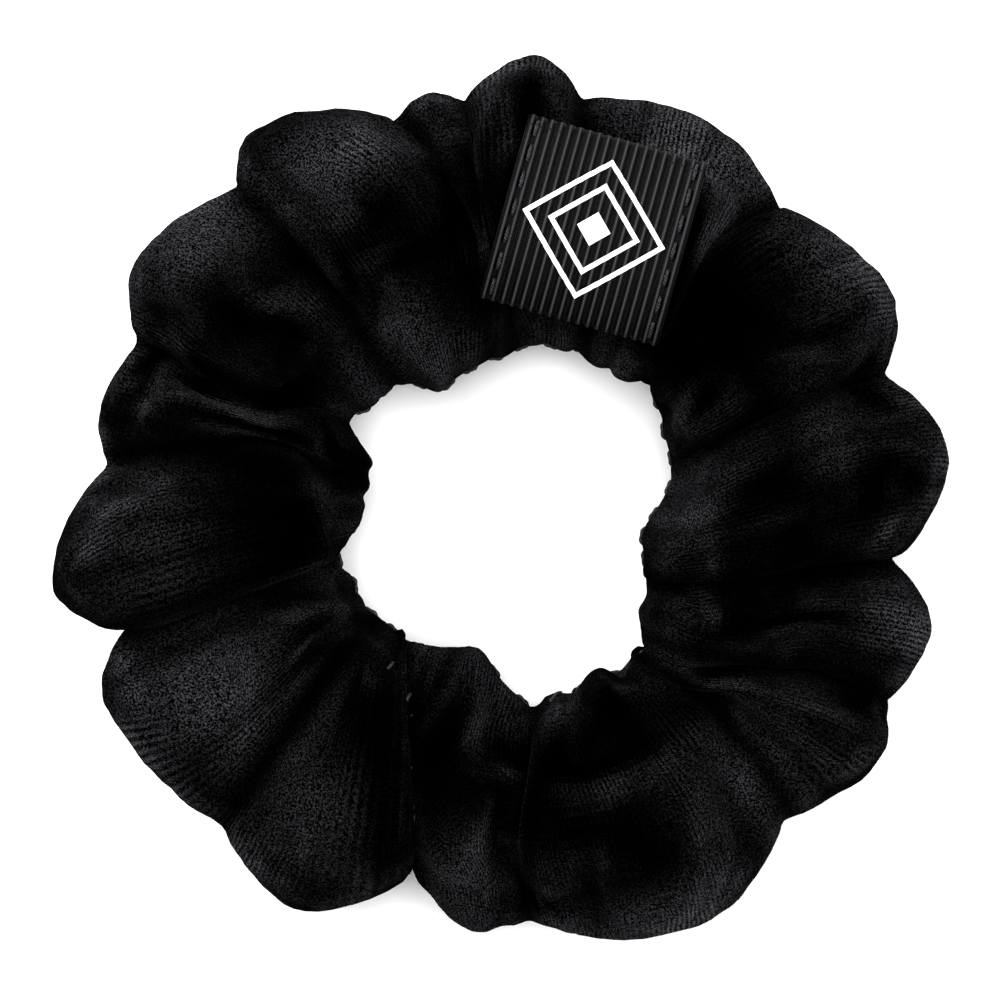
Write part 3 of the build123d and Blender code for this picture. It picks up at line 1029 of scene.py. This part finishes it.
class SCRUNCHIE_OT_cover(bpy.types.Operator):
    """Make the gathered velvet cover"""
    bl_idname = "scrunchie.cover"
    bl_label = "Velvet cover"

    def execute(self, context):
        settings = context.scene.scrunchie_cover
        points, across, out, up = gathered_points()
        add_creases(points, across, out, up)
        add_fine_pleats(points, across, out, up)
        rumple(points, out, up)
        points[..., 0] += RING_AXIS.x
        points[..., 1] += RING_AXIS.y
        cover = closed_tube("gathered_cover", points)
        points = mesh_points(cover)
        points = let_buckle(cover, held_share(points), settings)
        seat_label(points)
        clear_of_ring(points)
        rest_on_table(points)
        move_points(cover, points)
        apply_modifier(cover, "SUBSURF", levels=1, render_levels=1)
        apply_modifier(cover, "SOLIDIFY", thickness=settings.wall, offset=-1.0)
        bpy.ops.object.shade_smooth()
        paint_highlights_and_crease_shade(cover)
        cover.data.materials.append(velvet())
        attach(cover, COVER_BODY)
        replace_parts(cover, "velvet_cover")
        return {"FINISHED"}


class SCRUNCHIE_OT_label(bpy.types.Operator):
    """Make the ribbed ribbon label and the motif printed on it"""
    bl_idname = "scrunchie.label"
    bl_label = "Ribbon label"

    def execute(self, context):
        ribbon = open_sheet("ribbon_patch", ribbon_points(RIBBON_COLUMNS, RIBBON_ROWS))
        apply_modifier(ribbon, "SOLIDIFY", thickness=RIBBON_THICKNESS * MM, offset=-1.0)
        bpy.ops.object.shade_smooth()
        ribbon.data.materials.append(grosgrain())
        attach(ribbon, COVER_BODY)
        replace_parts(ribbon, "ribbon_label")
        parts = [diamond_outline(*diamond) for diamond in DIAMONDS]
        parts.append(filled_diamond(SMALL_DIAMOND))
        motif = join_all("ribbon_motif", parts)
        apply_modifier(motif, "SOLIDIFY", thickness=INK_THICKNESS * MM, offset=0.0)
        face_outwards(motif)
        motif.data.materials.append(print_ink())
        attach(motif, COVER_BODY)
        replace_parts(motif, "label_print")
        return {"FINISHED"}


class SCRUNCHIE_OT_stitches(bpy.types.Operator):
    """Sew the label down and put in the cover's two seams"""
    bl_idname = "scrunchie.stitches"
    bl_label = "Stitches"

    def execute(self, context):
        cover = bpy.data.objects["gathered_cover"]
        for name, places, node in (
            ("left_stitches", label_stitch_places(-1), "label_stitches_left"),
            ("right_stitches", label_stitch_places(1), "label_stitches_right"),
            ("lengthwise_stitches", lengthwise_places(cover), "lengthwise_seam_thread"),
            ("closing_stitches", closing_places(cover), "closing_seam_thread"),
        ):
            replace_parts(run_of_stitches(name, places), node)
        return {"FINISHED"}


class SCRUNCHIE_OT_ring(bpy.types.Operator):
    """Give the elastic ring its material"""
    bl_idname = "scrunchie.ring"
    bl_label = "Elastic ring"

    def execute(self, context):
        ring = bpy.data.objects["spiral_ring"]
        ring.data.materials.clear()
        ring.data.materials.append(elastic_cord())
        return {"FINISHED"}


class SCRUNCHIE_OT_stage(bpy.types.Operator):
    """Set the floor, the lights and the camera"""
    bl_idname = "scrunchie.stage"
    bl_label = "Stage"

    def execute(self, context):
        settings = context.scene.scrunchie_stage
        deselect_all()
        bpy.ops.mesh.primitive_plane_add(size=settings.floor_size, location=(0, 0, 0))
        floor = context.object
        floor.name = "floor"
        floor.data.materials.append(floor_board())
        world = bpy.data.worlds.new("studio")
        context.scene.world = world
        world.use_nodes = True
        background = world.node_tree.nodes["Background"]
        background.inputs["Color"].default_value = linear("#ffffff")
        background.inputs["Strength"].default_value = 0.3
        for name, place, size, power in (
            ("softbox_overhead", (-0.05, 0.1, 1.35), 0.7, 26.0),
            ("window_left", (-0.55, 0.5, 0.45), 0.4, 14.0),
            ("window_right", (0.6, -0.1, 0.35), 0.35, 5.0),
        ):
            bpy.ops.object.light_add(type="AREA", location=place)
            light = context.object
            light.name = name
            light.data.size = size
            light.data.energy = power
            light.rotation_euler = (-Vector(place)).to_track_quat("-Z", "Y").to_euler()
        bpy.ops.object.camera_add(location=(0, 0, settings.camera_height), rotation=(0, 0, 0))
        camera = context.object
        camera.data.sensor_width = 36.0
        gap = settings.camera_height - MIDDLE_HEIGHT * MM
        camera.data.lens = 36.0 * gap / settings.view_width
        camera.data.clip_start = 0.01
        context.scene.camera = camera
        context.scene.view_settings.view_transform = "Standard"
        return {"FINISHED"}


class SCRUNCHIE_PT_panel(bpy.types.Panel):
    """The scrunchie's sizes and the steps that make it"""
    bl_label = "Scrunchie"
    bl_idname = "SCRUNCHIE_PT_panel"
    bl_space_type = "VIEW_3D"
    bl_region_type = "UI"
    bl_category = "Scrunchie"

    def draw(self, context):
        layout = self.layout
        for group in SETTINGS:
            for name in SETTINGS[group].__annotations__:
                layout.prop(getattr(context.scene, group), name)
        for operator in OPERATORS:
            layout.operator(operator.bl_idname)


SETTINGS = {
    "scrunchie_cover": CoverSettings,
    "scrunchie_label": LabelSettings,
    "scrunchie_stage": StageSettings,
}
OPERATORS = (
    SCRUNCHIE_OT_stage,
    SCRUNCHIE_OT_ring,
    SCRUNCHIE_OT_cover,
    SCRUNCHIE_OT_label,
    SCRUNCHIE_OT_stitches,
)


def register():
    for group, settings in SETTINGS.items():
        bpy.utils.register_class(settings)
        setattr(bpy.types.Scene, group, bpy.props.PointerProperty(type=settings))
    for cls in OPERATORS + (SCRUNCHIE_PT_panel,):
        bpy.utils.register_class(cls)


def unregister():
    for cls in (SCRUNCHIE_PT_panel,) + OPERATORS:
        bpy.utils.unregister_class(cls)
    for group, settings in SETTINGS.items():
        delattr(bpy.types.Scene, group)
        bpy.utils.unregister_class(settings)


def main():
    register()
    bpy.ops.scrunchie.stage()
    bpy.ops.scrunchie.ring()
    bpy.ops.scrunchie.cover()
    bpy.ops.scrunchie.label()
    bpy.ops.scrunchie.stitches()


if __name__ == "__main__":
    main()
